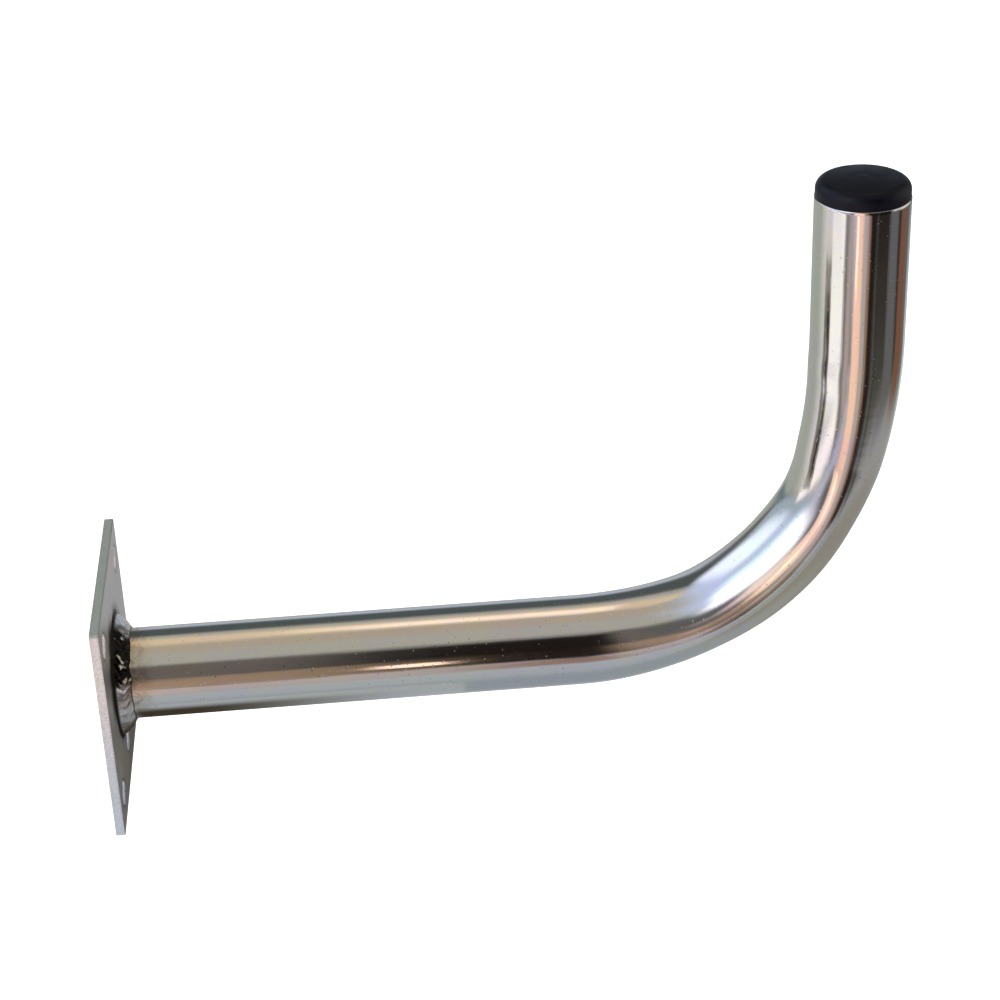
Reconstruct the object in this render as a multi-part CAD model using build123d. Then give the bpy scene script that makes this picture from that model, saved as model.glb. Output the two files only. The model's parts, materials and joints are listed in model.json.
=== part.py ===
from build123d import *
import os
from math import cos, radians, sin

# A bent-tube wall bracket: a square plate bolts to the wall, and a steel tube welded to its face
# runs straight out and then turns upward to carry a mast, a pole or a ladder stay.
# The origin is the centre of the plate's wall face, on the axis of the tube's arm.
# +X points away from the wall along the arm, +Z points up along the upright, and sizes are in mm.

# Wall plate
plate_side = 102.0
plate_thickness = 4.0
plate_corner_radius = 1.2
plate_edge_chamfer = 0.35
hole_radius = 5.5
corner_hole_spacing = 75.0
lower_hole_drop = 34.0

# Bent tube
tube_radius = 20.0
tube_wall = 1.5
arm_reach = 325.0
upright_height = 203.0

# The bend is three tangent arcs, each with the radius of the tube's centre line and its turn.
# The bender eases the tube in and out, so the middle arc is the tight one.
bend_arcs = [(150.0, 17.0), (106.0, 61.0), (250.0, 12.0)]

# Fillet weld between the tube and the plate
weld_leg_on_plate = 8.0
weld_leg_on_tube = 7.5
weld_crown = 0.8

# Push-in end cap
cap_head_radius = 19.7
cap_side_height = 3.0
cap_shoulder_radius = 4.4
cap_crown_rise = 0.9
cap_spigot_radius = 17.1
cap_spigot_length = 18.0
cap_wall = 1.7
cap_ceiling = 4.6
cap_mouth_chamfer = 0.8
rib_clearance = 0.05
rib_count = 3
rib_pitch = 5.0
rib_width = 1.6
first_rib_drop = 4.0

arm_axis_x = plate_thickness + arm_reach


def wall_plate():
    """Square plate with a hole near each corner and a fifth below the tube."""
    plate = Box(plate_thickness, plate_side, plate_side, align=(Align.MIN, Align.CENTER, Align.CENTER))
    corners = plate.edges().filter_by(Axis.X)
    plate = fillet(corners, plate_corner_radius)
    rims = plate.faces().sort_by(Axis.X)[0].edges() + plate.faces().sort_by(Axis.X)[-1].edges()
    plate = chamfer(rims, plate_edge_chamfer)
    half = corner_hole_spacing / 2
    centres = [(y, z) for y in (-half, half) for z in (-half, half)]
    centres.append((0.0, -lower_hole_drop))
    drill = Rot(0, 90, 0) * Cylinder(hole_radius, 3 * plate_thickness)
    for y, z in centres:
        plate = plate - Pos(plate_thickness / 2, y, z) * drill
    return plate


def centre_line():
    """Centre line of the tube: straight arm, bend of tangent arcs, straight upright."""
    run = 0.0
    rise = 0.0
    heading = 0.0
    arcs = []
    for radius, turn in bend_arcs:
        arcs.append((run, rise, heading, radius, turn))
        run += radius * (sin(radians(heading + turn)) - sin(radians(heading)))
        rise += radius * (cos(radians(heading)) - cos(radians(heading + turn)))
        heading += turn
    bend_start_x = arm_axis_x - run
    with BuildLine(Plane.XZ) as line:
        Line((plate_thickness, 0), (bend_start_x, 0))
        for run_before, rise_before, heading_before, radius, turn in arcs:
            centre = (
                bend_start_x + run_before - radius * sin(radians(heading_before)),
                rise_before + radius * cos(radians(heading_before)),
            )
            CenterArc(centre, radius, heading_before - 90, turn)
        Line((arm_axis_x, rise), (arm_axis_x, upright_height))
    return line.line


def bent_tube():
    """Open tube, welded shut by the plate at its wall end."""
    wall = Circle(tube_radius) - Circle(tube_radius - tube_wall)
    start = Plane(origin=(plate_thickness, 0, 0), z_dir=(1, 0, 0))
    return sweep(start * wall, path=centre_line())


def weld_bead():
    """Ring of fillet weld with a slightly raised face, in the corner of the tube and the plate."""
    root = (plate_thickness, tube_radius)
    toe_on_plate = (plate_thickness, tube_radius + weld_leg_on_plate)
    toe_on_tube = (plate_thickness + weld_leg_on_tube, tube_radius)
    middle = (
        plate_thickness + weld_leg_on_tube / 2 + weld_crown / 2,
        tube_radius + weld_leg_on_plate / 2 + weld_crown / 2,
    )
    with BuildPart() as bead:
        with BuildSketch(Plane.XY):
            with BuildLine():
                Line(root, toe_on_plate)
                ThreePointArc(toe_on_plate, middle, toe_on_tube)
                Line(toe_on_tube, root)
            make_face()
        revolve(axis=Axis.X)
    return bead.part


def cap_rib(drop):
    """Ring rib around the spigot at this depth, sloped so that it pushes in easily."""
    tip = tube_radius - tube_wall - rib_clearance
    inner = cap_spigot_radius - cap_wall / 2
    low = -drop - rib_width
    with BuildPart() as rib:
        with BuildSketch(Plane.XZ):
            with BuildLine():
                Polyline(
                    (inner, low),
                    (cap_spigot_radius, low),
                    (tip, -drop - rib_width / 2),
                    (tip, -drop),
                    (inner, -drop),
                    close=True,
                )
            make_face()
        revolve(axis=Axis.Z)
    return rib.part


def cap_body():
    """Domed head on a hollow spigot, as one moulding that sits on the tube's end."""
    shoulder_r = cap_head_radius - cap_shoulder_radius
    shoulder_z = cap_side_height + cap_shoulder_radius
    slant = sin(radians(45))
    shoulder_middle = (
        shoulder_r + cap_shoulder_radius * slant,
        cap_side_height + cap_shoulder_radius * slant,
    )
    crown_radius = (shoulder_r**2 + cap_crown_rise**2) / (2 * cap_crown_rise)
    half_way = shoulder_r / 2
    crown_middle = (
        half_way,
        shoulder_z + cap_crown_rise - crown_radius + (crown_radius**2 - half_way**2) ** 0.5,
    )
    crown = (0, shoulder_z + cap_crown_rise)
    bore = cap_spigot_radius - cap_wall
    with BuildPart() as body:
        with BuildSketch(Plane.XZ):
            with BuildLine():
                ThreePointArc(crown, crown_middle, (shoulder_r, shoulder_z))
                ThreePointArc((shoulder_r, shoulder_z), shoulder_middle, (cap_head_radius, cap_side_height))
                Polyline(
                    (cap_head_radius, cap_side_height),
                    (cap_head_radius, 0),
                    (cap_spigot_radius, 0),
                    (cap_spigot_radius, cap_mouth_chamfer - cap_spigot_length),
                    (cap_spigot_radius - cap_mouth_chamfer, -cap_spigot_length),
                    (bore, -cap_spigot_length),
                    (bore, cap_ceiling),
                    (0, cap_ceiling),
                    crown,
                )
            make_face()
        revolve(axis=Axis.Z)
    return body.part


def end_cap():
    """Ribbed plug that closes the upright's open end."""
    cap = cap_body()
    for rib in range(rib_count):
        cap = cap + cap_rib(first_rib_drop + rib * rib_pitch)
    return Pos(arm_axis_x, 0, upright_height) * cap


os.makedirs("parts", exist_ok=True)
export_step(wall_plate(), "parts/wall_plate.step")
export_step(bent_tube(), "parts/bent_tube.step")
export_step(weld_bead(), "parts/weld_bead.step")
export_step(end_cap(), "parts/end_cap.step")
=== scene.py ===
import json
from math import cos, pi, radians, sin

import bmesh
import bpy
from mathutils import Euler, Matrix, Vector, noise
from mathutils.geometry import delaunay_2d_cdt


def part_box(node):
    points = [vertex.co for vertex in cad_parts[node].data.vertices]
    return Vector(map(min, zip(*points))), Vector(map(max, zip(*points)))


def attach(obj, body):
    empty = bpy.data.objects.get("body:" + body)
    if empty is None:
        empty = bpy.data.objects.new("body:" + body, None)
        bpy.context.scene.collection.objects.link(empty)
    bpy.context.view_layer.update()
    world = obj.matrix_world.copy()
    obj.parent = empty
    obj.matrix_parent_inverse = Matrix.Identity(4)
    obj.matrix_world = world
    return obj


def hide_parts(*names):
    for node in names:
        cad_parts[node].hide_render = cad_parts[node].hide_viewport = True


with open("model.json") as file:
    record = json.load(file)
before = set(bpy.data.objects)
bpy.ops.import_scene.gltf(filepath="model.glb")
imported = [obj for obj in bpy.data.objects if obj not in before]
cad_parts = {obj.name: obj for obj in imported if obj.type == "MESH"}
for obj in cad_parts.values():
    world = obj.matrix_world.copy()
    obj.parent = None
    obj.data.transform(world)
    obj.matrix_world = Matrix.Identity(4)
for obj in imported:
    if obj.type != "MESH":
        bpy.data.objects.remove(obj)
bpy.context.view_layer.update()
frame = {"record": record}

# The wall bracket's looks. Lengths are in metres, in the frame of the CAD model: the origin is the
# centre of the plate's wall face, +X runs away from the wall along the arm and +Z runs up the upright.
MM = 0.001
BRACKET = "bracket"
CAP = "cap"

# ---------------------------------------------------------------- sizes, from the frame

plate_low, plate_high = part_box("wall_plate")
tube_low, tube_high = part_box("bent_tube")
weld_low, weld_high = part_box("weld_bead")
cap_low, cap_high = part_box("end_cap")
mounts = {mount["name"]: mount for mount in frame["record"]["mounts"]}

plate_front = plate_high.x
plate_half = plate_high.y
tube_radius = tube_high.y
upright_x = tube_high.x - tube_radius
tube_end = tube_high.z
weld_radius = weld_high.y
weld_reach = weld_high.x - plate_front
hole_radius = mounts["wall_bolts"]["dims"]["hole_r_mm"] * MM
hole_half_gap = mounts["wall_bolts"]["dims"]["spacing_x_mm"] * MM / 2
lower_hole_z = mounts["lower_hole"]["pos_m"][2]

tube_wall = 1.5 * MM
# Place of the tube's lengthwise seam, as a share of the way round from the inside of the bend.
seam_share = 0.735
# Each arc of the bend: radius of the centre line, and degrees of turn.
bend_arcs = [(150 * MM, 17), (106 * MM, 61), (250 * MM, 12)]


# ---------------------------------------------------------------- node helpers

class Graph:
    """Adds nodes to one tree. A value given for an input is a number, a colour or another node's socket."""

    def __init__(self, tree):
        self.tree = tree

    def fill(self, socket, value):
        if isinstance(value, bpy.types.NodeSocket):
            self.tree.links.new(value, socket)
        elif value is not None:
            socket.default_value = value

    def node(self, kind, values=None, **settings):
        """New node. Values go to inputs by name or place, and settings to the node's own properties."""
        new = self.tree.nodes.new(kind)
        for name, value in settings.items():
            setattr(new, name, value)
        for place, value in (values or {}).items():
            self.fill(new.inputs[place], value)
        return new

    def math(self, operation, *values):
        return self.node("ShaderNodeMath", dict(enumerate(values)), operation=operation).outputs[0]

    def times(self, first, *others):
        for other in others:
            first = self.math("MULTIPLY", first, other)
        return first

    def plus(self, first, *others):
        for other in others:
            first = self.math("ADD", first, other)
        return first

    def minus(self, first, second):
        return self.math("SUBTRACT", first, second)

    def vector(self, operation, *values):
        new = self.node("ShaderNodeVectorMath", dict(enumerate(values)), operation=operation)
        lone = operation in ("DOT_PRODUCT", "LENGTH", "DISTANCE")
        return new.outputs["Value" if lone else "Vector"]

    def scale(self, vector, factor):
        new = self.node("ShaderNodeVectorMath", {"Vector": vector, "Scale": factor}, operation="SCALE")
        return new.outputs["Vector"]

    def combine(self, x, y, z):
        return self.node("ShaderNodeCombineXYZ", {0: x, 1: y, 2: z}).outputs[0]

    def separate(self, vector):
        return self.node("ShaderNodeSeparateXYZ", {0: vector}).outputs

    def ramp(self, value, low, high, start=0.0, end=1.0, smooth=True):
        """Value from low..high becomes start..end, and stays there outside."""
        new = self.node("ShaderNodeMapRange", {"Value": value, "From Min": low, "From Max": high,
                                               "To Min": start, "To Max": end})
        new.interpolation_type = "SMOOTHSTEP" if smooth else "LINEAR"
        return new.outputs[0]

    def blend(self, factor, first, second):
        """Colour that goes from first to second."""
        new = self.node("ShaderNodeMix", data_type="RGBA")
        self.fill(new.inputs[0], factor)
        self.fill(new.inputs[6], first)
        self.fill(new.inputs[7], second)
        return new.outputs[2]

    def noise(self, vector, scale, detail=2.0, roughness=0.5, distortion=0.0):
        new = self.node("ShaderNodeTexNoise", {"Vector": vector, "Scale": scale, "Detail": detail,
                                               "Roughness": roughness, "Distortion": distortion})
        return new.outputs[0]


def new_group(name, kind, inputs, outputs):
    """Node group with named sockets: each is (name, socket type) or (name, socket type, default)."""
    tree = bpy.data.node_groups.new(name, kind)
    for way, sockets in (("INPUT", inputs), ("OUTPUT", outputs)):
        for socket_name, socket_type, *default in sockets:
            socket = tree.interface.new_socket(socket_name, in_out=way, socket_type=socket_type)
            if default:
                socket.default_value = default[0]
    return tree, Graph(tree), tree.nodes.new("NodeGroupInput"), tree.nodes.new("NodeGroupOutput")


def store(g, geometry, name, value, kind):
    """Keeps a value on the points of a mesh under a name that its material reads."""
    new = g.node("GeometryNodeStoreNamedAttribute", data_type=kind, domain="POINT")
    g.fill(new.inputs["Geometry"], geometry)
    g.fill(new.inputs["Name"], name)
    g.fill(new.inputs["Value"], value)
    return new.outputs[0]


def finish_tree(g, result, geometry, material):
    """Last nodes of every tree: smooth faces, real geometry in place of instances, and the material."""
    smooth = g.node("GeometryNodeSetShadeSmooth", {"Geometry": geometry})
    real = g.node("GeometryNodeRealizeInstances", {"Geometry": smooth.outputs[0]})
    painted = g.node("GeometryNodeSetMaterial", {"Geometry": real.outputs[0], "Material": material})
    g.fill(result.inputs[0], painted.outputs[0])


def set_inputs(modifier, values):
    """Sets a geometry modifier's inputs by the sockets' identifiers."""
    for item in modifier.node_group.interface.items_tree:
        if item.in_out == "INPUT" and item.name in values:
            modifier[item.identifier] = values[item.name]


def point_outwards(mesh):
    """Merges doubles and makes the faces point outwards."""
    shape = bmesh.new()
    shape.from_mesh(mesh)
    bmesh.ops.remove_doubles(shape, verts=shape.verts, dist=1e-6)
    bmesh.ops.recalc_face_normals(shape, faces=shape.faces)
    shape.to_mesh(mesh)
    shape.free()


def add_object(name, data):
    """New object in the scene."""
    made = bpy.data.objects.new(name, data)
    bpy.context.scene.collection.objects.link(made)
    return made


def working_object(name, data):
    """Object that only lives until its shape is finished."""
    return add_object(name + "_work", data)


def finished_mesh(source):
    """Mesh of a working object with its modifiers applied."""
    bpy.context.view_layer.update()
    evaluated = source.evaluated_get(bpy.context.evaluated_depsgraph_get())
    mesh = bpy.data.meshes.new_from_object(evaluated)
    bpy.data.objects.remove(source)
    return mesh


def smooth_mesh(name, shape, material):
    """Mesh of one material from a bmesh, with all its faces smooth."""
    mesh = bpy.data.meshes.new(name)
    shape.to_mesh(mesh)
    shape.free()
    mesh.materials.append(material)
    for polygon in mesh.polygons:
        polygon.use_smooth = True
    return mesh


def finished_piece(name, source, body, replaced):
    """Turns a working object with its modifiers into a plain mesh piece that rides on a body."""
    mesh = finished_mesh(source)
    mesh.name = name
    assert [material for material in mesh.materials if material], name + " has no material"
    piece = add_object(name, mesh)
    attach(piece, body)
    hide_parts(*replaced)
    return piece


# ---------------------------------------------------------------- shared finishes

def zinc_tint_group():
    """Bright zinc colour that drifts between straw, rose and sea green, with a cloudy roughness."""
    tree, g, given, result = new_group(
        "zinc tint", "ShaderNodeTree",
        [("Place", "NodeSocketVector"), ("Strength", "NodeSocketFloat", 0.5),
         ("Base", "NodeSocketColor", (0.74, 0.73, 0.70, 1)),
         ("Roughness", "NodeSocketFloat", 0.18), ("Cloudiness", "NodeSocketFloat", 0.08)],
        [("Color", "NodeSocketColor"), ("Roughness", "NodeSocketFloat")])
    place = given.outputs["Place"]
    broad = g.noise(place, 30, 3, 0.55, 0.6)
    fine = g.noise(g.vector("ADD", place, (3.1, 1.7, 5.3)), 380, 4, 0.65, 0.4)
    hue = g.plus(g.times(broad, 0.5), g.times(fine, 0.5))
    film = g.node("ShaderNodeValToRGB", {0: hue})
    stops = film.color_ramp.elements
    stops[0].position, stops[0].color = 0.34, (0.56, 0.80, 0.70, 1)
    stops[1].position, stops[1].color = 0.66, (0.90, 0.62, 0.70, 1)
    straw = stops.new(0.46)
    straw.color = (0.86, 0.80, 0.60, 1)
    lilac = stops.new(0.56)
    lilac.color = (0.74, 0.72, 0.82, 1)
    tinted = g.blend(given.outputs["Strength"], given.outputs["Base"], film.outputs[0])
    g.fill(result.inputs["Color"], tinted)
    cloud = g.noise(place, 60, 5, 0.62, 0.4)
    spread = g.times(g.minus(cloud, 0.5), given.outputs["Cloudiness"])
    rough = g.plus(given.outputs["Roughness"], g.times(spread, 2.0))
    g.fill(result.inputs["Roughness"], rough)
    return tree


def pits_group():
    """Tiny round pits and specks scattered over a plated surface: a mask, and a height to bump with."""
    tree, g, given, result = new_group(
        "pits", "ShaderNodeTree",
        [("Place", "NodeSocketVector"), ("Size", "NodeSocketFloat", 0.7), ("Share", "NodeSocketFloat", 0.3)],
        [("Mask", "NodeSocketFloat"), ("Height", "NodeSocketFloat")])
    density = g.math("DIVIDE", 1000.0, given.outputs["Size"])
    cells = g.node("ShaderNodeTexVoronoi", {"Vector": given.outputs["Place"], "Scale": density})
    near = g.ramp(cells.outputs["Distance"], 0.10, 0.34, 1.0, 0.0)
    dice = g.separate(cells.outputs["Color"])[0]
    chosen = g.ramp(dice, g.minus(1.0, given.outputs["Share"]), 1.0, smooth=False)
    mask = g.times(near, chosen)
    g.fill(result.inputs["Mask"], mask)
    g.fill(result.inputs["Height"], g.times(mask, -1.0))
    return tree


def drawn_lines_group():
    """Fine lines along one axis of a place vector, as left by rolls and drawing dies."""
    tree, g, given, result = new_group(
        "drawn lines", "ShaderNodeTree",
        [("Place", "NodeSocketVector"), ("Fineness", "NodeSocketFloat", 900.0)],
        [("Value", "NodeSocketFloat")])
    stretched = g.vector("MULTIPLY", given.outputs["Place"], (0.012, 1.0, 1.0))
    lines = g.noise(stretched, given.outputs["Fineness"], 3, 0.6)
    g.fill(result.inputs["Value"], lines)
    return tree


zinc_tint = zinc_tint_group()
pits = pits_group()
drawn_lines = drawn_lines_group()


def new_material(name):
    """Empty material with a Principled shader: the material, its graph and the shader."""
    material = bpy.data.materials.new(name)
    material.use_nodes = True
    material.node_tree.nodes.clear()
    g = Graph(material.node_tree)
    shader = g.node("ShaderNodeBsdfPrincipled")
    output = g.node("ShaderNodeOutputMaterial")
    g.fill(output.inputs["Surface"], shader.outputs[0])
    return material, g, shader


def use_group(g, group, **values):
    """Places a shared group with its own values: names_with_underscores stand for spaces."""
    new = g.node("ShaderNodeGroup", node_tree=group)
    for name, value in values.items():
        g.fill(new.inputs[name.replace("_", " ")], value)
    return new.outputs


def add_bump(g, shader, height, distance, strength=1.0):
    bump = g.node("ShaderNodeBump", {"Height": height, "Distance": distance, "Strength": strength})
    g.fill(shader.inputs["Normal"], bump.outputs[0])


def attribute(g, name):
    return g.node("ShaderNodeAttribute", attribute_name=name)


# ---------------------------------------------------------------- materials

def tube_material():
    """Bright zinc plating on drawn tube: fine lines along it, faint tints, pits, dust and a seam line."""
    material, g, shader = new_material("zinc_tube")
    place = attribute(g, "straight").outputs["Vector"]
    tint = use_group(g, zinc_tint, Place=place, Strength=0.34, Base=(0.76, 0.745, 0.715, 1),
                     Roughness=0.095, Cloudiness=0.04)
    lines = use_group(g, drawn_lines, Place=place, Fineness=1500.0)["Value"]
    streaks = use_group(g, drawn_lines, Place=place, Fineness=420.0)["Value"]
    dots = use_group(g, pits, Place=place, Size=1.5, Share=0.10)
    dust = use_group(g, pits, Place=g.vector("ADD", place, (7.7, 0.3, 2.9)), Size=1.0, Share=0.06)
    seam = attribute(g, "seam").outputs["Fac"]

    # Blotches of brown heat tint in the first centimetre past the weld.
    along = g.separate(place)[0]
    blotch = g.noise(place, 330, 4, 0.6, 0.4)
    heat = g.times(g.ramp(along, weld_reach, weld_reach + 11 * MM, 1.0, 0.0),
                  g.ramp(blotch, 0.36, 0.62, 0.35, 1.0))
    colour = g.blend(g.times(heat, 0.75), tint["Color"], (0.36, 0.25, 0.13, 1))
    colour = g.blend(g.times(dots["Mask"], 0.65), colour, (0.24, 0.21, 0.19, 1))
    g.fill(shader.inputs["Base Color"], colour)
    rough = g.plus(tint["Roughness"], g.times(g.minus(lines, 0.5), 0.10))
    rough = g.plus(rough, g.times(dust["Mask"], 0.40))
    rough = g.plus(rough, g.times(heat, 0.12))
    g.fill(shader.inputs["Roughness"], g.plus(rough, g.times(seam, 0.12)))
    shader.inputs["Metallic"].default_value = 1.0
    ripple = g.noise(g.vector("MULTIPLY", place, (0.22, 1.0, 1.0)), 190, 2, 0.4)
    height = g.plus(g.times(lines, 0.35), dots["Height"])
    height = g.plus(height, g.times(streaks, 0.9))
    height = g.plus(height, g.times(dust["Mask"], 1.3))
    height = g.plus(height, g.times(ripple, 1.6))
    add_bump(g, shader, g.plus(height, g.times(seam, -1.5)), 0.02 * MM)
    return material


def plate_material():
    """Zinc plated sheet: a rolled face scorched round the weld, and rough sheared edges."""
    material, g, shader = new_material("zinc_plate")
    place = g.node("ShaderNodeTexCoord").outputs["Object"]
    sheared = attribute(g, "sheared").outputs["Fac"]
    tint = use_group(g, zinc_tint, Place=place, Strength=0.34, Base=(0.70, 0.69, 0.67, 1),
                     Roughness=0.42, Cloudiness=0.08)
    dots = use_group(g, pits, Place=place, Size=0.8, Share=0.30)
    grain = g.noise(place, 1500, 4, 0.7)
    level = g.separate(place)[2]

    # Painted reflection: the sheared edge goes from bluish at the bottom to warm at the top, and painted
    # shade makes its top side a darker green-grey.
    painted_reflection_rise = g.ramp(level, -0.9 * plate_half, 0.7 * plate_half)
    edge_colour = g.blend(painted_reflection_rise, (0.70, 0.76, 0.85, 1), (0.98, 0.88, 0.84, 1))
    top_side_painted_shade = g.ramp(level, 0.97 * plate_half, 0.985 * plate_half)
    edge_colour = g.blend(top_side_painted_shade, edge_colour, (0.62, 0.67, 0.58, 1))
    speckle = g.times(g.ramp(grain, 0.60, 0.38), 0.35)
    edge_colour = g.blend(speckle, edge_colour, (0.36, 0.37, 0.36, 1))
    colour = g.blend(sheared, tint["Color"], edge_colour)

    # Brown scorching and a dark ring round the weld, on the front only.
    on_front = g.ramp(g.separate(place)[0], 0.8 * plate_front, 0.95 * plate_front)
    across = g.vector("MULTIPLY", place, (0.0, 1.0, 1.0))
    from_axis = g.vector("LENGTH", across)
    cloud = g.noise(place, 150, 4, 0.6, 0.5)
    near_weld = g.ramp(from_axis, weld_radius + 0.5 * MM, weld_radius + 7 * MM, 1.0, 0.0)
    scorched = g.times(near_weld, g.ramp(cloud, 0.35, 0.62, 0.25, 1.0))
    scorched = g.times(scorched, on_front)
    colour = g.blend(g.times(scorched, 0.6), colour, (0.16, 0.12, 0.08, 1))
    at_toe = g.ramp(from_axis, weld_radius + 0.4 * MM, weld_radius + 1.2 * MM, 1.0, 0.0)
    ring = g.times(on_front, at_toe)
    colour = g.blend(g.times(ring, 0.85), colour, (0.030, 0.025, 0.020, 1))

    # Soot lies thick on the near upper side, where the bead ran rough.
    around = g.math("ARCTAN2", g.separate(place)[1], g.separate(place)[2])
    soot_middle = radians(-55)
    from_rough = g.math("ABSOLUTE", g.math("WRAP", g.minus(around, soot_middle), pi, -pi))
    spread = g.plus(from_axis, g.times(g.minus(cloud, 0.5), 10 * MM))
    close = g.ramp(spread, weld_radius + 3 * MM, weld_radius + 11 * MM, 1.0, 0.0)
    soot = g.times(close, g.ramp(from_rough, radians(28), radians(52), 1.0, 0.0), on_front)
    colour = g.blend(g.times(soot, 0.93), colour, (0.016, 0.014, 0.012, 1))
    dark = g.times(dots["Mask"], g.ramp(sheared, 0.0, 1.0, 0.25, 0.75))
    colour = g.blend(dark, colour, (0.20, 0.19, 0.18, 1))
    # Painted shade: a dark green-grey line along the rounded front arris of the plate's outline.
    painted_arris_shade = attribute(g, "painted_arris_shade").outputs["Fac"]
    colour = g.blend(g.times(painted_arris_shade, 0.75), colour, (0.17, 0.18, 0.15, 1))
    g.fill(shader.inputs["Base Color"], colour)
    rough = g.plus(tint["Roughness"], g.times(sheared, 0.12))
    g.fill(shader.inputs["Roughness"], g.plus(rough, g.times(scorched, 0.12)))
    g.fill(shader.inputs["Metallic"], g.ramp(sheared, 0.0, 1.0, 1.0, 0.55, smooth=False))
    height = g.times(grain, g.ramp(sheared, 0.0, 1.0, 0.12, 1.0))
    add_bump(g, shader, g.plus(height, g.times(dots["Height"], 0.7)), 0.06 * MM)
    return material


def weld_material():
    """Zinc plated weld metal: bright where the bead ran smooth, black in the hollows where it ran rough."""
    material, g, shader = new_material("weld_metal")
    place = g.node("ShaderNodeTexCoord").outputs["Object"]
    hollow = attribute(g, "hollow").outputs["Fac"]
    rough_run = attribute(g, "rough_run").outputs["Fac"]
    toe = attribute(g, "toe").outputs["Fac"]
    tint = use_group(g, zinc_tint, Place=place, Strength=0.42, Base=(0.66, 0.64, 0.60, 1),
                     Roughness=0.20, Cloudiness=0.12)
    soot = g.noise(place, 420, 4, 0.65, 0.5)
    in_hollow = g.times(g.ramp(hollow, 0.24, 0.44), rough_run)
    dirt = g.times(in_hollow, g.ramp(soot, 0.25, 0.42, 0.75, 1.0))
    filmed = g.ramp(g.noise(place, 260, 3, 0.6), 0.42, 0.60)
    film = g.times(filmed, g.ramp(rough_run, 0.0, 1.0, 0.25, 0.75))
    colour = g.blend(film, tint["Color"], (0.52, 0.33, 0.17, 1))
    colour = g.blend(dirt, colour, (0.010, 0.009, 0.008, 1))
    g.fill(shader.inputs["Base Color"], g.blend(toe, colour, (0.025, 0.020, 0.016, 1)))
    g.fill(shader.inputs["Roughness"], g.plus(tint["Roughness"], g.times(toe, 0.3)))
    shader.inputs["Metallic"].default_value = 1.0
    height = g.times(soot, g.ramp(rough_run, 0.0, 1.0, 0.25, 0.6))
    height = g.plus(height, g.times(g.noise(place, 2600, 2), 0.2))
    add_bump(g, shader, height, 0.08 * MM)
    return material


def cap_material():
    """Black moulded polyethylene: a fine spark-eroded grain, a soft bluish sheen and light scuffs."""
    material, g, shader = new_material("cap_plastic")
    place = g.node("ShaderNodeTexCoord").outputs["Object"]
    grain = g.noise(place, 3200, 3, 0.6)
    cloud = g.noise(place, 120, 4, 0.6, 0.5)
    scuffs = g.ramp(g.noise(g.vector("MULTIPLY", place, (1.0, 0.16, 1.0)), 900, 4, 0.7), 0.60, 0.74)
    worn = g.times(scuffs, g.ramp(cloud, 0.45, 0.7, 0.0, 0.35))
    black = g.blend(cloud, (0.0016, 0.0018, 0.0050, 1), (0.0040, 0.0044, 0.0105, 1))
    g.fill(shader.inputs["Base Color"], g.blend(worn, black, (0.020, 0.020, 0.028, 1)))
    g.fill(shader.inputs["Roughness"], g.ramp(cloud, 0.2, 0.8, 0.34, 0.50))
    shader.inputs["IOR"].default_value = 1.5
    shader.inputs["Specular IOR Level"].default_value = 0.2
    add_bump(g, shader, g.minus(grain, g.times(scuffs, 0.5)), 0.03 * MM)
    return material


zinc_tube = tube_material()
zinc_plate = plate_material()
weld_metal = weld_material()
cap_plastic = cap_material()


# ---------------------------------------------------------------- bent tube

def centre_line_points(step=1.0):
    """Points of the tube's centre line: the arm, the bend's arcs a degree apart, and the upright."""
    run = 0.0
    rise = 0.0
    heading = 0.0
    arc_points = []
    for radius, turn in bend_arcs:
        for part in range(int(turn / step)):
            angle = heading + part * step
            arc_points.append((run + radius * (sin(radians(angle)) - sin(radians(heading))),
                               rise + radius * (cos(radians(heading)) - cos(radians(angle)))))
        run += radius * (sin(radians(heading + turn)) - sin(radians(heading)))
        rise += radius * (cos(radians(heading)) - cos(radians(heading + turn)))
        heading += turn
    start = upright_x - run
    points = [(plate_front, 0.0, 0.0)]
    points += [(start + x, 0.0, z) for x, z in arc_points]
    points += [(upright_x, 0.0, rise), (upright_x, 0.0, tube_end)]
    return points


def centre_line_curve():
    curve = bpy.data.curves.new("centre_line", "CURVE")
    curve.dimensions = "3D"
    spline = curve.splines.new("POLY")
    points = centre_line_points()
    spline.points.add(len(points) - 1)
    for point, place in zip(spline.points, points):
        point.co = (*place, 1.0)
    return curve


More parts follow.
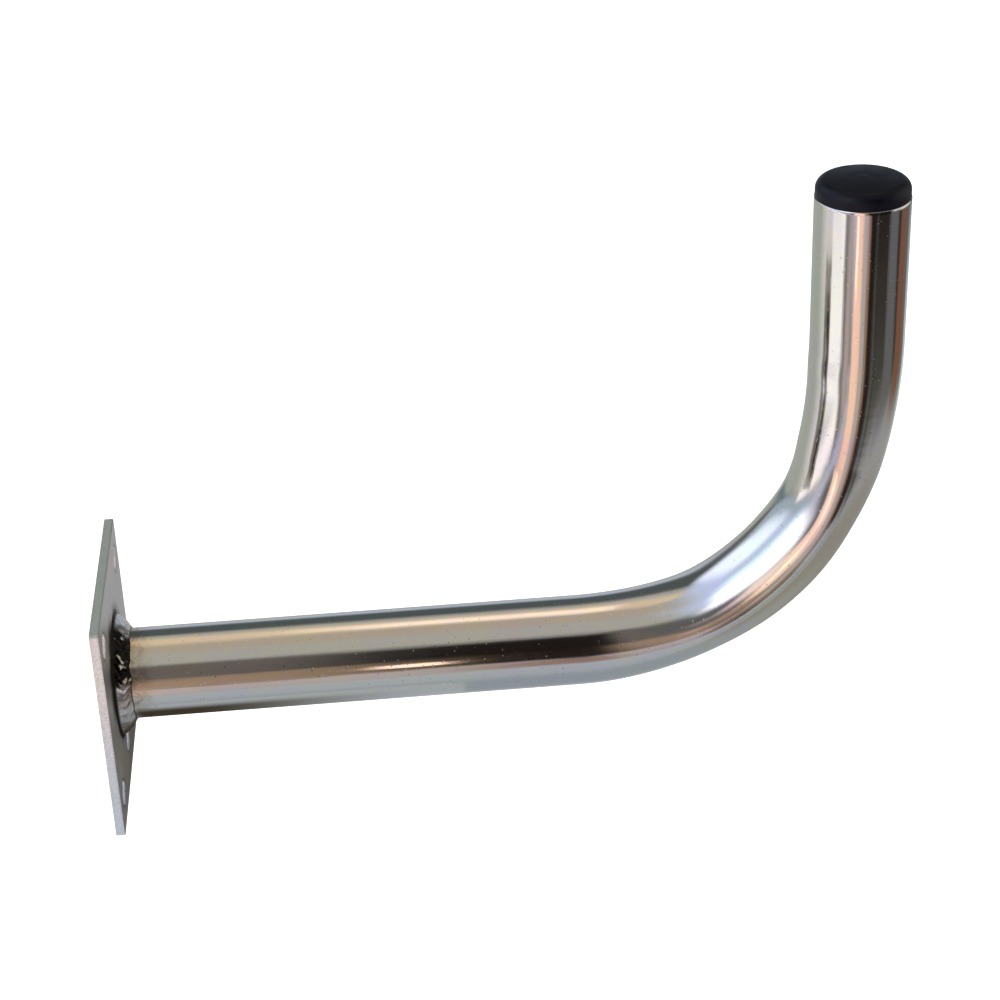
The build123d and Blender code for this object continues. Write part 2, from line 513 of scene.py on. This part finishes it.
def tube_shape_tree():
    """Sweeps a round section along the centre line, squeezed in the bend and marked by the die."""
    tree, g, given, result = new_group(
        "bent tube", "GeometryNodeTree",
        [("Centre Line", "NodeSocketGeometry"), ("Radius", "NodeSocketFloat"), ("Sides", "NodeSocketInt"),
         ("Ring Spacing", "NodeSocketFloat"), ("Squeeze", "NodeSocketFloat"),
         ("Side Swell", "NodeSocketFloat"), ("Die Mark", "NodeSocketFloat"),
         ("Waviness", "NodeSocketFloat"), ("Material", "NodeSocketMaterial")],
        [("Mesh", "NodeSocketGeometry")])
    even = g.node("GeometryNodeResampleCurve", {"Curve": given.outputs["Centre Line"],
                                                "Length": given.outputs["Ring Spacing"]}, mode="LENGTH")
    path = g.node("GeometryNodeCaptureAttribute", {"Geometry": even.outputs[0]}, domain="POINT")
    captured = {}
    for label, kind, socket in (
            ("centre", "VECTOR", g.node("GeometryNodeInputPosition").outputs[0]),
            ("tangent", "VECTOR", g.node("GeometryNodeInputTangent").outputs[0]),
            ("along", "FLOAT", g.node("GeometryNodeSplineParameter").outputs["Length"])):
        path.capture_items.new(kind, label)
        g.fill(path.inputs[label], socket)
        captured[label] = path.outputs[label]
    circle = g.node("GeometryNodeCurvePrimitiveCircle", {"Resolution": given.outputs["Sides"],
                                                         "Radius": given.outputs["Radius"]})
    ring = g.node("GeometryNodeCaptureAttribute", {"Geometry": circle.outputs[0]}, domain="POINT")
    ring.capture_items.new("FLOAT", "share")
    g.fill(ring.inputs["share"], g.node("GeometryNodeSplineParameter").outputs["Factor"])
    swept = g.node("GeometryNodeCurveToMesh", {"Curve": path.outputs[0], "Profile Curve": ring.outputs[0]})

    # Angle around the tube: 0 on the inside of the bend, a quarter turn towards the back.
    around = g.times(ring.outputs["share"], 2 * pi)
    inward_part = g.math("COSINE", around)
    side_part = g.math("SINE", around)
    tangent = g.separate(captured["tangent"])
    inward = g.combine(g.times(tangent[2], -1.0), 0.0, tangent[0])
    turn = g.math("DEGREES", g.math("ARCTAN2", tangent[2], tangent[0]))

    # The squeeze rises over the first part of the bend, eases in the middle and falls away at its end.
    risen = g.ramp(turn, 2.0, 26.0)
    fallen = g.ramp(turn, 62.0, 91.0, 1.0, 0.0)
    middle = g.ramp(g.math("ABSOLUTE", g.minus(turn, 45.0)), 4.0, 20.0, 0.72, 1.0)
    squeeze = g.times(risen, fallen, middle, given.outputs["Squeeze"])
    in_plane = g.minus(1.0, squeeze)
    across = g.plus(1.0, g.times(squeeze, given.outputs["Side Swell"]))

    # A low ridge with a hollow beside it where the bending die let go, on the inside, and a slight
    # unevenness everywhere. Both places are degrees of turn.
    inner_side = g.ramp(inward_part, 0.15, 0.95)
    ridge = g.ramp(g.math("ABSOLUTE", g.minus(turn, 87.5)), 0.0, 2.5, 1.0, 0.0)
    hollow = g.ramp(g.math("ABSOLUTE", g.minus(turn, 82.0)), 0.0, 6.0, 1.0, 0.0)
    mark = g.times(g.minus(ridge, hollow), inner_side, given.outputs["Die Mark"])
    straight = g.combine(captured["along"], g.times(inward_part, given.outputs["Radius"]),
                         g.times(side_part, given.outputs["Radius"]))
    uneven = g.minus(g.noise(g.vector("MULTIPLY", straight, (0.35, 1.0, 1.0)), 34, 2), 0.5)
    lift = g.plus(mark, g.times(uneven, given.outputs["Waviness"]))
    reach = g.plus(given.outputs["Radius"], lift)

    offset = g.vector("ADD",
                      g.scale(inward, g.times(inward_part, in_plane, reach)),
                      g.combine(0.0, g.times(side_part, across, reach), 0.0))
    placed = g.node("GeometryNodeSetPosition", {"Geometry": swept.outputs[0],
                                                "Position": g.vector("ADD", captured["centre"], offset)})

    # The seam of the tube's own lengthwise weld lies on the near side, a little below the middle.
    from_seam = g.math("ABSOLUTE", g.minus(ring.outputs["share"], seam_share))
    seam = g.ramp(from_seam, 0.0006, 0.0026, 1.0, 0.0)
    named = store(g, placed.outputs[0], "straight", straight, "FLOAT_VECTOR")
    named = store(g, named, "seam", seam, "FLOAT")
    finish_tree(g, result, named, given.outputs["Material"])
    return tree


def make_tube():
    """Swept surface, given its wall's thickness and its cut rims."""
    source = working_object("bent_tube", centre_line_curve())
    swept = source.modifiers.new("sweep", "NODES")
    swept.node_group = tube_shape_tree()
    values = {"Radius": tube_radius, "Sides": 128, "Ring Spacing": 1.6 * MM, "Squeeze": 0.145,
              "Side Swell": 0.6, "Die Mark": 0.22 * MM, "Waviness": 0.05 * MM, "Material": zinc_tube}
    set_inputs(swept, values)
    outer = finished_mesh(source)
    point_outwards(outer)
    walled = working_object("bent_tube", outer)
    wall = walled.modifiers.new("wall", "SOLIDIFY")
    wall.thickness = tube_wall
    wall.offset = -1.0
    wall.use_even_offset = True
    rim = walled.modifiers.new("rim", "BEVEL")
    rim.width = 0.3 * MM
    rim.segments = 2
    rim.limit_method = "ANGLE"
    rim.angle_limit = radians(50)
    return finished_piece("tube", walled, BRACKET, ["bent_tube"])


make_tube()


# ---------------------------------------------------------------- weld bead

def weld_shape_tree():
    """Fillet bead bent into a ring: its section is drawn around the corner between plate and tube."""
    tree, g, given, result = new_group(
        "weld bead", "GeometryNodeTree",
        [("Start", "NodeSocketGeometry"), ("Plate Face", "NodeSocketFloat"),
         ("Tube Radius", "NodeSocketFloat"), ("Leg On Plate", "NodeSocketFloat"),
         ("Leg On Tube", "NodeSocketFloat"), ("Depth", "NodeSocketFloat"),
         ("Ripple Pitch", "NodeSocketFloat"), ("Ripple Height", "NodeSocketFloat"),
         ("Lumps", "NodeSocketFloat"), ("Rough Middle", "NodeSocketFloat"),
         ("Material", "NodeSocketMaterial")],
        [("Mesh", "NodeSocketGeometry")])
    steps_around = 420
    steps_across = 44
    grid = g.node("GeometryNodeMeshGrid", {"Size X": 1.0, "Size Y": 1.0,
                                           "Vertices X": steps_around + 1, "Vertices Y": steps_across + 1})
    spot = g.separate(g.node("GeometryNodeInputPosition").outputs[0])
    around = g.times(g.plus(spot[0], 0.5), 2 * pi)
    share = g.plus(spot[1], 0.5)

    # Most of the section's points lie on the face that shows, and the rest go round behind the root.
    # The section's two ends don't meet, nor do the last ripple and the first, so the mesh is open
    # along its edge at the plate and across the bead at the top of the ring.
    face_share = 0.82
    on_face = g.ramp(share, 0.0, face_share, radians(-3), radians(93), smooth=False)
    behind = g.ramp(share, face_share, 1.0, 0.0, radians(264), smooth=False)
    slant = g.plus(on_face, behind)
    is_face = g.ramp(slant, radians(93), radians(99), 1.0, 0.0)
    is_start = g.ramp(share, 0.965, 1.0)
    line = g.plus(g.math("DIVIDE", g.math("COSINE", on_face), given.outputs["Leg On Plate"]),
                  g.math("DIVIDE", g.math("SINE", on_face), given.outputs["Leg On Tube"]))
    straight_reach = g.math("DIVIDE", 1.0, line)
    middle = g.math("SINE", g.times(g.ramp(on_face, 0.0, radians(90), smooth=False), pi))

    # Crescent ripples follow each other around the ring, stronger where the welder went slowly.
    ring_place = g.combine(g.math("COSINE", around), g.math("SINE", around), 0.0)
    bow = g.times(middle, middle, 0.9)
    steps = g.math("DIVIDE", g.times(around, given.outputs["Tube Radius"]),
                   given.outputs["Ripple Pitch"])
    wobble = g.times(g.noise(ring_place, 3.0, 2), 2.2)
    phase = g.math("FRACT", g.plus(steps, wobble, bow))
    crest = g.math("SINE", g.times(g.math("POWER", phase, 0.6), pi))
    from_rough = g.minus(around, given.outputs["Rough Middle"])
    rough_side = g.math("ABSOLUTE", g.math("WRAP", from_rough, pi, -pi))
    rough_run = g.ramp(rough_side, radians(25), radians(37), 1.0, 0.0)
    care = g.ramp(rough_run, 0.0, 1.0, 0.22, 1.0)
    ripple = g.times(crest, care, middle, given.outputs["Ripple Height"])
    lump_place = g.combine(g.math("COSINE", around), g.math("SINE", around), g.times(slant, 0.25))
    lumps = g.times(g.minus(g.noise(lump_place, 4.2, 2, 0.45), 0.5),
                    g.times(given.outputs["Lumps"], g.ramp(rough_run, 0.0, 1.0, 0.25, 1.0)))
    crown = 0.5 * MM
    face_reach = g.plus(straight_reach, ripple, lumps, g.times(middle, crown))
    hidden = g.minus(1.0, g.times(is_face, g.minus(1.0, is_start)))
    reach = g.plus(g.times(face_reach, g.minus(1.0, hidden)),
                   g.times(given.outputs["Depth"], hidden))

    out = g.plus(given.outputs["Tube Radius"], g.times(g.math("COSINE", slant), reach))
    forward = g.plus(given.outputs["Plate Face"], g.times(g.math("SINE", slant), reach))
    place = g.combine(forward, g.times(g.math("SINE", around), out),
                      g.times(g.math("COSINE", around), out))

    # The marks for the material are kept before the grid is bent, while its own places still count.
    height = g.math("DIVIDE", g.plus(ripple, lumps), given.outputs["Lumps"])
    hollows = g.ramp(height, -0.20, 0.40, 1.0, 0.0, smooth=False)
    at_plate = g.ramp(on_face, radians(5.0), radians(14.0), 1.0, 0.0)
    at_tube = g.ramp(on_face, radians(82), radians(88), 0.0, 0.8)
    named = store(g, grid.outputs[0], "hollow", hollows, "FLOAT")
    named = store(g, named, "rough_run", rough_run, "FLOAT")
    named = store(g, named, "toe", g.math("MAXIMUM", at_plate, at_tube), "FLOAT")
    placed = g.node("GeometryNodeSetPosition", {"Geometry": named, "Position": place})
    same_place = 0.002 * MM
    merged = g.node("GeometryNodeMergeByDistance", {"Geometry": placed.outputs[0], "Distance": same_place})
    finish_tree(g, result, merged.outputs[0], given.outputs["Material"])
    return tree


def make_weld():
    """Ring of weld metal, with its toes a little inside the CAD bead's."""
    source = working_object("weld", bpy.data.meshes.new("weld_start"))
    bead = source.modifiers.new("bead", "NODES")
    bead.node_group = weld_shape_tree()
    set_inputs(bead, {"Plate Face": plate_front, "Tube Radius": tube_radius,
                      "Leg On Plate": weld_radius - tube_radius - 0.3 * MM,
                      "Leg On Tube": weld_reach - 0.4 * MM,
                      "Depth": 0.8 * MM, "Ripple Pitch": 3.1 * MM, "Ripple Height": 0.45 * MM,
                      "Lumps": 3.4 * MM, "Rough Middle": radians(320), "Material": weld_metal})
    piece = finished_piece("weld", source, BRACKET, ["weld_bead"])
    point_outwards(piece.data)
    return piece


make_weld()


# ---------------------------------------------------------------- wall plate

edge_step = 1.0 * MM
face_step = 4.0 * MM
corner = 1.2 * MM
rim_margin = 1.5 * MM
face_unevenness = 0.03 * MM
sharp_edge = radians(40)


def plate_outline():
    """Points and outward directions around the plate's square outline, with small round corners."""
    straight = plate_half - corner
    side_steps = int(2 * straight / edge_step)
    points = []
    for quarter in range(4):
        angle = quarter * pi / 2
        out = Vector((cos(angle), sin(angle)))
        along = Vector((-sin(angle), cos(angle)))
        for step in range(side_steps):
            way = -straight + 2 * straight * step / side_steps
            points.append((out * plate_half + along * way, out))
        centre = out * straight + along * straight
        for step in range(4):
            turned = angle + step * pi / 8
            direction = Vector((cos(turned), sin(turned)))
            points.append((centre + direction * corner, direction))
    return points


def hole_outline(centre, radius):
    """Points around a hole, and the directions from the metal towards its middle."""
    steps = 48
    points = []
    for step in range(steps):
        angle = -2 * pi * step / steps
        direction = Vector((cos(angle), sin(angle)))
        points.append((centre + direction * radius, -direction))
    return points


# Section of a sheared edge, from the wall face to the front: depth into the plate as a share of its
# thickness, how far the edge stands back in mm, how torn the metal is there, and how much painted shade
# darkens the arris.
# The first and last entries lie on the faces, so that the edge's shading stays beside the edge.
shear_section = [
    (0.0, 0.80, 0.0, 0.0), (0.0, 0.06, 0.0, 0.0), (0.02, 0.02, 0.4, 0.0), (0.10, 0.012, 1.0, 0.0),
    (0.22, 0.03, 1.0, 0.0), (0.36, 0.018, 1.0, 0.0), (0.50, 0.03, 0.9, 0.0), (0.62, 0.006, 0.3, 0.0),
    (0.76, 0.0, 0.1, 0.0), (0.88, 0.018, 0.1, 0.0), (0.95, 0.072, 0.0, 0.2), (0.985, 0.156, 0.0, 0.8),
    (1.0, 0.27, 0.0, 1.0), (1.0, 0.90, 0.0, 0.0),
]


def sheared_wall(shape, outline, torn_depth, arris_chips_and_shade):
    """Strip of faces through the plate's thickness along one outline, rough where the metal tore."""
    fine = 900
    coarse = 0.23
    chip_scale = 160
    chip_depth = 0.35 * MM
    marks = shape.verts.layers.float["sheared"]
    arris_shade_layer = shape.verts.layers.float["painted_arris_shade"]
    loops = []
    for depth, back, torn, dark in shear_section:
        loop = []
        on_edge = 0.0 < depth < 1.0
        for point, out in outline:
            seed = Vector((point.x, point.y, depth * plate_front)) * fine
            rough = noise.noise(seed) * 0.6 + noise.noise(seed * coarse) * 0.8
            chip_seed = Vector((point.x * chip_scale, point.y * chip_scale, 3.1))
            chip = max(0.0, noise.noise(chip_seed) - 0.35) * 0.9
            inset = back * MM + torn * torn_depth * (0.5 + rough)
            if back < 0.5 and arris_chips_and_shade:
                inset += chip * chip_depth * (1 - depth) ** 2
            spot = point - out * max(inset, 0.0)
            vert = shape.verts.new((depth * plate_front, spot.x, spot.y))
            vert[marks] = 1.0 if on_edge else 0.0
            # The section's last column and the outline's flag set how much painted shade the arris gets.
            vert[arris_shade_layer] = dark * arris_chips_and_shade
            loop.append(vert)
        loops.append(loop)
    for low, high in zip(loops, loops[1:]):
        for index in range(len(low)):
            following = (index + 1) % len(low)
            shape.faces.new((low[index], low[following], high[following], high[index]))
    return loops[0], loops[-1]


def plate_face(shape, loops, x, holes):
    """Flat face between the outline and the holes, in small triangles with a slight unevenness."""
    rim = [vert for loop in loops for vert in loop]
    flat = [Vector((vert.co.y, vert.co.z)) for vert in rim]
    edges = []
    first = 0
    for loop in loops:
        edges += [(first + i, first + (i + 1) % len(loop)) for i in range(len(loop))]
        first += len(loop)
    count = int(plate_half / face_step)
    for row in range(-count, count + 1):
        for column in range(-count, count + 1):
            spot = Vector((column * face_step, row * face_step))
            inside = max(abs(spot.x), abs(spot.y)) < plate_half - rim_margin
            if inside and all((spot - hole).length > hole_radius + rim_margin for hole in holes):
                flat.append(spot)
    cut = delaunay_2d_cdt(flat, edges, [], 0, 1e-9)
    points, faces, origins = cut[0], cut[2], cut[3]
    inwards = -face_unevenness if x > 0 else face_unevenness
    verts = []
    for point, sources in zip(points, origins):
        on_rim = [source for source in sources if source < len(rim)]
        if on_rim:
            verts.append(rim[on_rim[0]])
            continue
        swell = noise.noise(Vector((point.x, point.y, x)) * 45) * 0.03 * MM
        verts.append(shape.verts.new((x + swell + inwards, point.x, point.y)))
    # A hole's loop on this face stands further out than the test below reaches, so slivers of the
    # triangulation stay between the two and double the strip of sheared_wall there.
    for face in faces:
        middle = sum((Vector(points[i]) for i in face), Vector((0, 0))) / 3
        in_hole = any((middle - hole).length < hole_radius * 0.99 for hole in holes)
        if not in_hole and max(abs(middle.x), abs(middle.y)) < plate_half:
            shape.faces.new([verts[i] for i in face])


def make_plate():
    """Sheared and punched plate as one mesh. See plate_face for the doubled slivers round its holes."""
    shape = bmesh.new()
    shape.verts.layers.float.new("sheared")
    shape.verts.layers.float.new("painted_arris_shade")
    sides = (-hole_half_gap, hole_half_gap)
    holes = [Vector((y, z)) for y in sides for z in sides]
    holes.append(Vector((0.0, lower_hole_z)))
    back_loops = []
    front_loops = []
    outlines = [(plate_outline(), 0.16 * MM, 1.0)]
    outlines += [(hole_outline(hole, hole_radius), 0.06 * MM, 0.0) for hole in holes]
    for outline, torn, arris_chips_and_shade in outlines:
        back, front = sheared_wall(shape, outline, torn, arris_chips_and_shade)
        back_loops.append(back)
        front_loops.append(front)
    plate_face(shape, back_loops, 0.0, holes)
    plate_face(shape, front_loops, plate_front, holes)
    bmesh.ops.recalc_face_normals(shape, faces=shape.faces)
    for edge in shape.edges:
        edge.smooth = edge.calc_face_angle(0.0) < sharp_edge
    source = working_object("plate", smooth_mesh("plate", shape, zinc_plate))
    return finished_piece("plate", source, BRACKET, ["wall_plate"])


make_plate()


# ---------------------------------------------------------------- end cap

def arc_points(centre, radius, first, last, steps):
    """Points on an arc, from one angle in degrees to another."""
    angles = [radians(first + (last - first) * step / steps) for step in range(steps + 1)]
    return [(centre[0] + radius * cos(angle), centre[1] + radius * sin(angle)) for angle in angles]


def cap_section():
    """Half section of the cap, as distance from the axis and height above the tube's end."""
    head = cap_high.y
    crown = cap_high.z - tube_end
    bottom = cap_low.z - tube_end
    shoulder = 4.4 * MM
    side = 3.0 * MM
    spigot = 17.1 * MM
    bore = 15.4 * MM
    rib_tip = 18.44 * MM
    section = [(0.0, crown)]
    rise = crown - side - shoulder
    flat = head - shoulder
    ball = (flat * flat + rise * rise) / (2 * rise)
    for step in range(1, 8):
        out = flat * step / 8
        section.append((out, crown - ball + (ball * ball - out * out) ** 0.5))
    section += arc_points((flat, side), shoulder, 90, 0, 10)
    section += [(head, 1.6 * MM), (head - 0.02 * MM, 0.5 * MM)]
    section += arc_points((head - 0.35 * MM, 0.35 * MM), 0.33 * MM, 0, -90, 4)
    section += [(spigot + 0.5 * MM, 0.02 * MM), (spigot, -0.3 * MM)]
    for rib in range(3):
        top = -(4.0 + 5.0 * rib) * MM
        section += [(spigot, top + 0.25 * MM), (spigot + 0.15 * MM, top), (rib_tip - 0.2 * MM, top),
                    (rib_tip, top - 0.2 * MM), (rib_tip, top - 0.7 * MM),
                    (rib_tip - 0.15 * MM, top - 0.9 * MM), (spigot + 0.1 * MM, top - 1.6 * MM),
                    (spigot, top - 1.9 * MM)]
    section += [(spigot, bottom + 0.9 * MM), (spigot - 0.7 * MM, bottom), (bore + 0.2 * MM, bottom),
                (bore, bottom + 0.2 * MM), (bore, 2.6 * MM)]
    section += arc_points((bore - 2.0 * MM, 2.6 * MM), 2.0 * MM, 0, 90, 6)[1:]
    section.append((0.0, 4.6 * MM))
    return section


def make_cap():
    """The section turned about the upright's axis, with a gate mark on the crown."""
    steps = 128
    crown_height = 5 * MM
    unevenness = 0.06 * MM
    gate_radius = 2.9 * MM
    gate_width = 1.6 * MM
    gate_depth = 0.25 * MM
    shape = bmesh.new()
    rings = []
    for out, height in cap_section():
        if out == 0.0:
            rings.append([shape.verts.new((upright_x, 0.0, tube_end + height))])
            continue
        ring = []
        for step in range(steps):
            angle = 2 * pi * step / steps
            lift = 0.0
            x = out * cos(angle)
            y = out * sin(angle)
            if height > crown_height:
                lift = noise.noise(Vector((x, y, 0)) * 60) * unevenness - unevenness
                lift -= gate_depth * max(0.0, 1 - abs(out - gate_radius) / gate_width)
            ring.append(shape.verts.new((upright_x + x, y, tube_end + height + lift)))
        rings.append(ring)
    for upper, lower in zip(rings, rings[1:]):
        for step in range(steps):
            following = (step + 1) % steps
            if len(upper) == 1:
                shape.faces.new((upper[0], lower[step], lower[following]))
            elif len(lower) == 1:
                shape.faces.new((upper[step], lower[0], upper[following]))
            else:
                shape.faces.new((upper[step], lower[step], lower[following], upper[following]))
    bmesh.ops.recalc_face_normals(shape, faces=shape.faces)
    source = working_object("end_plug", smooth_mesh("end_plug", shape, cap_plastic))
    return finished_piece("end_plug", source, CAP, ["end_cap"])


make_cap()


# ---------------------------------------------------------------- stage, light and camera

def white_paper(name):
    """White surface that glows evenly, for the floor and the backdrop."""
    material, g, shader = new_material(name)
    shader.inputs["Base Color"].default_value = (0.86, 0.86, 0.86, 1)
    shader.inputs["Roughness"].default_value = 0.9
    shader.inputs["Specular IOR Level"].default_value = 0.0
    shader.inputs["Emission Color"].default_value = (1, 1, 1, 1)
    shader.inputs["Emission Strength"].default_value = 1.0
    return material


def make_floor():
    """Plain white floor well below the bracket, which a wall holds up. The metal doesn't mirror it."""
    size = 6.0
    drop = 0.30
    height = plate_low.z - drop
    mesh = bpy.data.meshes.new("floor")
    corners = [(-size, -size, height), (size, -size, height), (size, size, height), (-size, size, height)]
    mesh.from_pydata(corners, [], [(0, 1, 2, 3)])
    mesh.materials.append(white_paper("floor_white"))
    floor = add_object("floor", mesh)
    floor.visible_glossy = False


def make_backdrop():
    """White dome all round, which only the camera sees."""
    shape = bmesh.new()
    bmesh.ops.create_icosphere(shape, subdivisions=4, radius=20.0)
    mesh = bpy.data.meshes.new("backdrop")
    shape.to_mesh(mesh)
    shape.free()
    mesh.materials.append(white_paper("backdrop_white"))
    dome = add_object("backdrop", mesh)
    dome.visible_diffuse = False
    dome.visible_glossy = False
    dome.visible_shadow = False


def make_card(name, corners, colour, edge_colour=None):
    """Card that only the metal mirrors: it hangs out of the camera's sight and gives no shadow.

    With an edge colour it fades to that colour away from the plate and towards the front."""
    mesh = bpy.data.meshes.new(name)
    mesh.from_pydata(corners, [], [(0, 1, 2, 3)])
    card = add_object(name, mesh)
    material, g, shader = new_material(name)
    shader.inputs["Base Color"].default_value = (0, 0, 0, 1)
    shader.inputs["Specular IOR Level"].default_value = 0.0
    if edge_colour:
        x, y, z = g.separate(g.node("ShaderNodeTexCoord").outputs["Object"])
        near_plate = g.times(g.ramp(x, 0.025, 0.15, 1.0, 0.0), g.ramp(y, -0.07, -0.01))
        g.fill(shader.inputs["Emission Color"], g.blend(near_plate, (*edge_colour, 1), (*colour, 1)))
    else:
        shader.inputs["Emission Color"].default_value = (*colour, 1)
    shader.inputs["Emission Strength"].default_value = 1.0
    mesh.materials.append(material)
    card.visible_camera = False
    card.visible_diffuse = False
    card.visible_shadow = False


def make_cards():
    """Two dark cards behind and below the plate's foot, and a small light half a metre in front."""
    dark = (0.055, 0.045, 0.030)
    grey = (0.44, 0.48, 0.52)
    make_card("dark_card", [(-0.002, 0.056, -0.13), (0.16, 0.056, -0.13), (0.16, 0.056, -0.05),
                            (-0.002, 0.056, -0.05)], dark, grey)
    make_card("dark_card_under", [(-0.002, -0.08, -0.13), (0.16, -0.08, -0.13), (0.16, 0.056, -0.13),
                                  (-0.002, 0.056, -0.13)], dark, grey)
    make_card("small_light", [(0.118, -0.50, -0.055), (0.163, -0.50, -0.055), (0.163, -0.50, 0.015),
                              (0.118, -0.50, 0.015)], (2.0, 1.4, 1.15))


# Soft light around the bracket. Bearing is in degrees to the right of straight in front, and height in
# degrees above the level. Each patch is (name, bearing, half width, height, half height, softness, tilt,
# colour), and a later patch covers an earlier one.
light_patches = [
    ("ceiling", 0, 200, 71, 26, 14, 0, (0.47, 0.46, 0.42)),
    ("ceiling_top", 0, 200, 90, 14, 12, 0, (0.50, 0.43, 0.35)),
    ("daylight", -88, 52, 34, 30, 34, 0, (0.64, 0.74, 1.04)),
    ("lamp_glow", -172, 40, 69, 10, 14, 0, (0.80, 0.64, 0.46)),
    ("lamp", 163, 21, 71, 6, 10, 0, (1.32, 1.10, 0.88)),
    ("dark_behind", 178, 36, 32, 15, 14, 0, (0.09, 0.11, 0.115)),
    ("back_low", 174, 24, -2, 15, 14, 0, (0.50, 0.56, 0.68)),
    ("dark_front", 46, 48, 4, 36, 8, 0, (0.014, 0.010, 0.009)),
    ("glow_right", 94, 34, 11, 26, 9, 0, (0.80, 0.78, 0.74)),
    ("ground", 0, 200, -70, 40, 8, 0, (0.46, 0.50, 0.55)),
    ("ground_front", -3, 8, -23, 9, 7, 0, (0.52, 0.46, 0.46)),
    ("ground_deep", 0, 200, -90, 32, 34, 0, (0.33, 0.38, 0.42)),
    ("ground_right", 88, 66, -46, 15, 24, 0, (0.32, 0.31, 0.27)),
    ("left_low", -130, 55, -16, 14, 10, 0, (0.42, 0.45, 0.42)),
    ("left_low_bright", -84, 30, -17, 14, 30, 0, (0.80, 0.77, 0.78)),
    ("slate_far", -150, 16, -6, 3, 6, -30, (0.17, 0.22, 0.26)),
    ("slate_left", -104, 42, 5, 5, 8, 3, (0.42, 0.50, 0.62)),
    ("slate_right", -46, 22, -12, 3, 6, 29, (0.58, 0.58, 0.74)),
    ("window_far", -122, 21, 28, 13, 16, 0, (1.15, 1.30, 1.55)),
    ("window_edge", -69, 14, 27, 20, 14, 0, (0.95, 1.25, 1.60)),
    ("window", -53, 18, 23, 20, 16, 10, (2.2, 2.2, 2.3)),
    ("sill_high", -25, 9, 8, 9, 10, 0, (1.15, 0.90, 0.88)),
    ("sill", -19, 12, -8, 9, 6, 0, (1.22, 0.86, 0.72)),
    ("streak_cream", -78, 28, -10, 4, 5, 20, (1.28, 1.18, 1.20)),
    ("low_white", -68, 17, -25, 4, 8, 0, (1.22, 1.20, 1.22)),
    ("dark_gap", -38, 5, -25, 5, 6, 0, (0.50, 0.41, 0.38)),
    ("streak_peach", -17, 9, -24, 7, 6, 0, (1.15, 0.74, 0.58)),
    ("column_left", -5, 3, 26, 18, 5, 0, (0.17, 0.145, 0.13)),
    ("column_warm", -4, 4, -3, 12, 7, 0, (0.38, 0.27, 0.19)),
    ("column_rust", 6, 3, -24, 5, 4, 0, (0.34, 0.21, 0.15)),
    ("right_grey", 70, 13, -20, 10, 8, 0, (0.14, 0.14, 0.15)),
    ("right_rust", 104, 12, -25, 5, 6, 0, (0.22, 0.10, 0.065)),
    ("edge_right", 146, 14, -26, 4, 8, 0, (0.60, 0.62, 0.66)),
    ("low_behind", 170, 14, -30, 22, 14, 0, (0.46, 0.48, 0.50)),
]


def fade(g, offset, half_size, softness):
    """1 well inside a patch and 0 well outside it."""
    return g.ramp(g.math("ABSOLUTE", offset), half_size - softness / 2, half_size + softness / 2, 1.0, 0.0)


def make_light():
    """World made of soft patches of light, as a room with two windows on the left would give."""
    world = bpy.data.worlds.new("room_light")
    bpy.context.scene.world = world
    world.use_nodes = True
    world.node_tree.nodes.clear()
    g = Graph(world.node_tree)
    x, y, z = g.separate(g.node("ShaderNodeTexCoord").outputs["Generated"])
    bearing = g.math("DEGREES", g.math("ARCTAN2", x, g.times(y, -1.0)))
    height = g.math("DEGREES", g.math("ARCSINE", z))
    colour = (0.13, 0.13, 0.13, 1)
    for _, middle, half_width, level, half_height, softness, tilt, patch in light_patches:
        across = g.math("WRAP", g.minus(bearing, middle), 180.0, -180.0)
        up = g.minus(height, level)
        level_part = cos(radians(tilt))
        tilted_part = sin(radians(tilt))
        along_width = g.minus(g.times(across, level_part), g.times(up, tilted_part))
        along_height = g.plus(g.times(across, tilted_part), g.times(up, level_part))
        mask = g.times(fade(g, along_width, half_width, softness),
                      fade(g, along_height, half_height, softness))
        colour = g.blend(mask, colour, (*patch, 1))
    background = g.node("ShaderNodeBackground", {"Color": colour, "Strength": 1.0})
    output = g.node("ShaderNodeOutputWorld")
    g.fill(output.inputs["Surface"], background.outputs[0])


def make_camera():
    """Long lens from the front, above the bracket and looking down on it."""
    data = bpy.data.cameras.new("camera")
    data.sensor_width = 36.0
    data.lens = 83.51
    data.clip_start = 0.01
    data.clip_end = 50.0
    camera = add_object("camera", data)
    heading = radians(-3.80)
    tilt = radians(28.45)
    roll = radians(-2.27)
    turn = Euler((pi / 2 - tilt, 0.0, heading)).to_matrix() @ Matrix.Rotation(roll, 3, "Z")
    place = (0.11726, -0.87748, 0.55007)
    camera.matrix_world = Matrix.Translation(place) @ turn.to_4x4()
    bpy.context.scene.camera = camera


make_floor()
make_backdrop()
make_cards()
make_light()
make_camera()
bpy.context.scene.view_settings.view_transform = "Standard"
